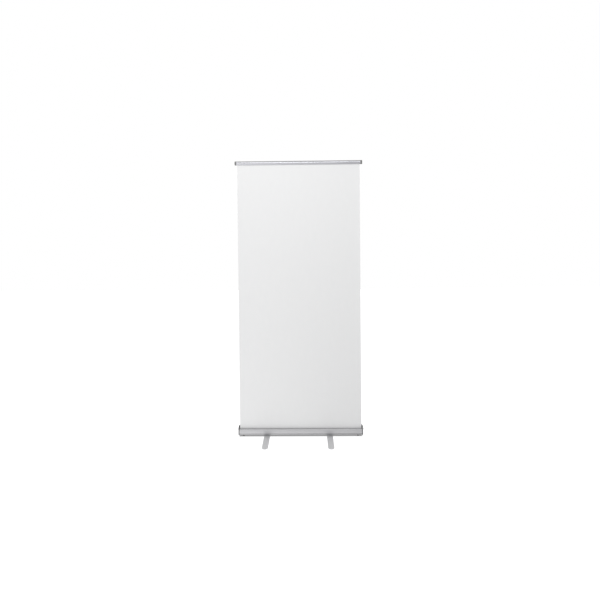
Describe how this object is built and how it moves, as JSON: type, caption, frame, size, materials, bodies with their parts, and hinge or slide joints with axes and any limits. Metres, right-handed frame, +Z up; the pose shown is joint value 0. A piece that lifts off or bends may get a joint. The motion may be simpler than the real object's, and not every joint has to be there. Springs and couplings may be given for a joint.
{
  "type": "roll-up banner stand",
  "caption": "Tall plain light-grey banner pulled up from a low silver roller base, with a clamp rail on top, two flat swivel feet in front and a telescopic pole behind.",
  "frame": {"origin": "on the floor, in the plane of the film, midway along the base", "axes": "+Z up, film faces -Y, +X to the right of someone reading the film"},
  "size_m": [0.9568, 0.2909, 2.0702],
  "materials": {
    "satin_aluminium": "satin anodised",
    "bright_aluminium": "bright anodised",
    "steel": "zinc plated",
    "spring_steel": "oiled",
    "silver_plastic": "silver moulded",
    "black_plastic": "fine texture",
    "grey_plastic": "fine texture",
    "white_plastic": "natural nylon",
    "rubber": "matt",
    "felt": "pile",
    "film": "satin film"
  },
  "bodies": {
    "base": {"banner_film": "film", "base_housing": "satin_aluminium", "base_pad_left_front": "rubber", "base_pad_left_rear": "rubber", "base_pad_right_front": "rubber", "base_pad_right_rear": "rubber", "collar_lower_ring": "black_plastic", "end_cap_left": "silver_plastic", "end_cap_right": "silver_plastic", "end_plate_left": "black_plastic", "end_plate_right": "black_plastic", "end_screw_left_1": "steel", "end_screw_left_2": "steel", "end_screw_left_3": "steel", "end_screw_left_4": "steel", "end_screw_right_1": "steel", "end_screw_right_2": "steel", "end_screw_right_3": "steel", "end_screw_right_4": "steel", "foot_rivet_left": "steel", "foot_rivet_right": "steel", "foot_stop_left": "steel", "foot_stop_right": "steel", "foot_washer_left": "white_plastic", "foot_washer_right": "white_plastic", "idler_axle": "steel", "pole_foot_plug": "black_plastic", "pole_lower_tube": "bright_aluminium", "pole_socket": "black_plastic", "slot_felt_front": "felt", "slot_felt_rear": "felt", "spring_mandrel": "steel", "torsion_spring": "spring_steel"},
    "foot_left": {"foot_left": "steel", "foot_tip_pad_left": "rubber"},
    "foot_right": {"foot_right": "steel", "foot_tip_pad_right": "rubber"},
    "roller": {"roller_tube": "steel", "film_wound": "film", "roller_plug_idler": "white_plastic", "roller_plug_spring": "white_plastic", "mandrel_bush": "white_plastic"},
    "rail": {"rail_back": "satin_aluminium", "rail_grip_back": "white_plastic", "rail_cap_left": "grey_plastic", "rail_cap_right": "grey_plastic", "rail_cap_screw_left": "steel", "rail_cap_screw_right": "steel", "pole_hook": "black_plastic", "pole_upper_tube": "bright_aluminium", "pole_upper_clutch": "white_plastic"},
    "rail_jaw": {"rail_front": "bright_aluminium", "rail_grip_front": "white_plastic"},
    "pole_middle": {"pole_middle_tube": "bright_aluminium", "pole_middle_clutch": "white_plastic", "collar_upper_ring": "black_plastic"},
    "collar_lower": {"collar_lower_nut": "grey_plastic"},
    "collar_upper": {"collar_upper_nut": "grey_plastic"}
  },
  "joints": [
    {"name": "foot_left_swivel", "type": "hinge", "parent": "base", "child": "foot_left", "pos_m": [-0.252, 0, 0.0043], "axis": [0, 0, 1], "range_deg": [0, 90]},
    {"name": "foot_right_swivel", "type": "hinge", "parent": "base", "child": "foot_right", "pos_m": [0.219, 0, 0.0043], "axis": [0, 0, 1], "range_deg": [-90, 0]},
    {"name": "rail_height", "type": "slide", "parent": "base", "child": "rail", "axis": [0, 0, 1], "range_m": [-1.14, 0], "deforming": ["banner_film"]},
    {"name": "pole_middle_slide", "type": "slide", "parent": "base", "child": "pole_middle", "axis": [0, 0, 1], "range_m": [-0.57, 0]},
    {"name": "roller_spin", "type": "hinge", "parent": "base", "child": "roller", "pos_m": [0, 0.0165, 0.0315], "axis": [1, 0, 0], "range_deg": [-30, 4100]},
    {"name": "rail_jaw_open", "type": "hinge", "parent": "rail", "child": "rail_jaw", "pos_m": [0, -0.00829, 2.06029], "axis": [1, 0, 0], "range_deg": [-45, 0]},
    {"name": "collar_lower_twist", "type": "hinge", "parent": "base", "child": "collar_lower", "pos_m": [0, 0.0435, 0.75], "axis": [0, 0, 1], "range_deg": [0, 90]},
    {"name": "collar_upper_twist", "type": "hinge", "parent": "pole_middle", "child": "collar_upper", "pos_m": [0, 0.0435, 1.386], "axis": [0, 0, 1], "range_deg": [0, 90]}
  ],
  "couplings": [
    {"joint": "pole_middle_slide", "follows": "rail_height", "ratio": 0.5},
    {"joint": "roller_spin", "follows": "rail_height", "rad_per_m": -61.728}
  ]
}
